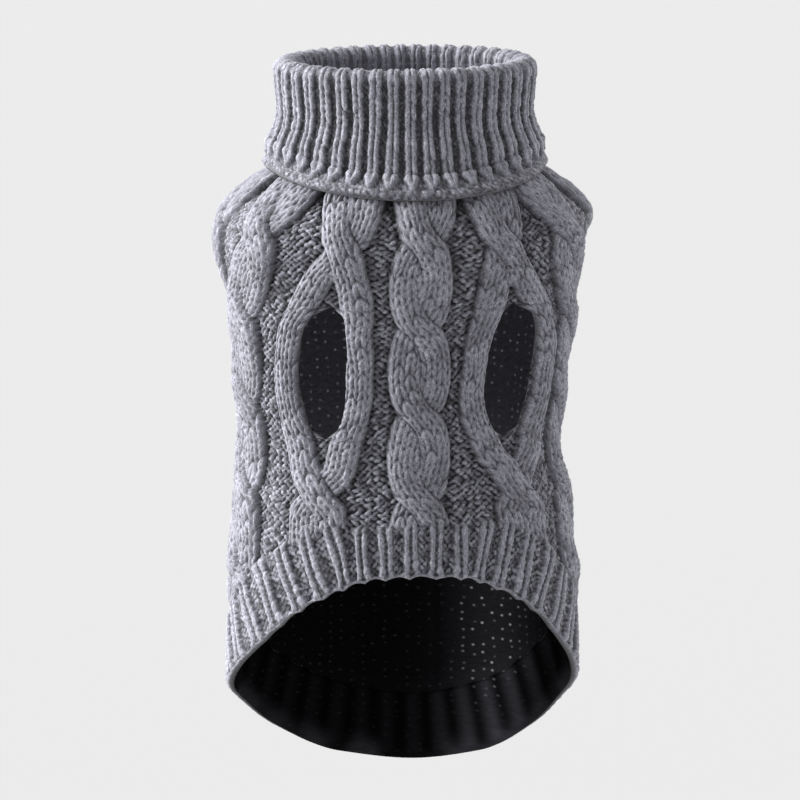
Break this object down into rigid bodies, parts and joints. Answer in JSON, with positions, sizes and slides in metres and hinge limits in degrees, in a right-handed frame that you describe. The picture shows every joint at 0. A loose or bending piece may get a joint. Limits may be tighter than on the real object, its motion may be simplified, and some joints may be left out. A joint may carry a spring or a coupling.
{
  "type": "dog sweater",
  "caption": "Knitted dog sweater, filled out and hollow: cable-knit body with two leg openings, a short belly, a long rounded back, a ribbed hem and a folded ribbed turtleneck.",
  "frame": {"origin": "middle of the neck, level with the lower edge of the turned-down collar, where the wearer's neck holds the garment", "axes": "+Z along the body towards the head, through the neck opening; -Y towards the belly and its two leg openings; +X completes a right-handed frame"},
  "size_m": [0.1533, 0.1217, 0.294],
  "materials": {
    "belly_knit": "heathered mid-grey wool-blend yarn, cable knit, matt and slightly fuzzy",
    "back_knit": "heathered mid-grey wool-blend yarn, cable knit, matt and slightly fuzzy",
    "hem_rib_knit": "heathered mid-grey wool-blend yarn, one-by-one rib, matt",
    "collar_rib_knit": "heathered mid-grey wool-blend yarn, one-by-one rib, matt"
  },
  "bodies": {
    "root": {"belly_panel": "belly_knit", "back_panel": "back_knit", "hem_rib": "hem_rib_knit", "collar": "collar_rib_knit"}
  },
  "joints": []
}
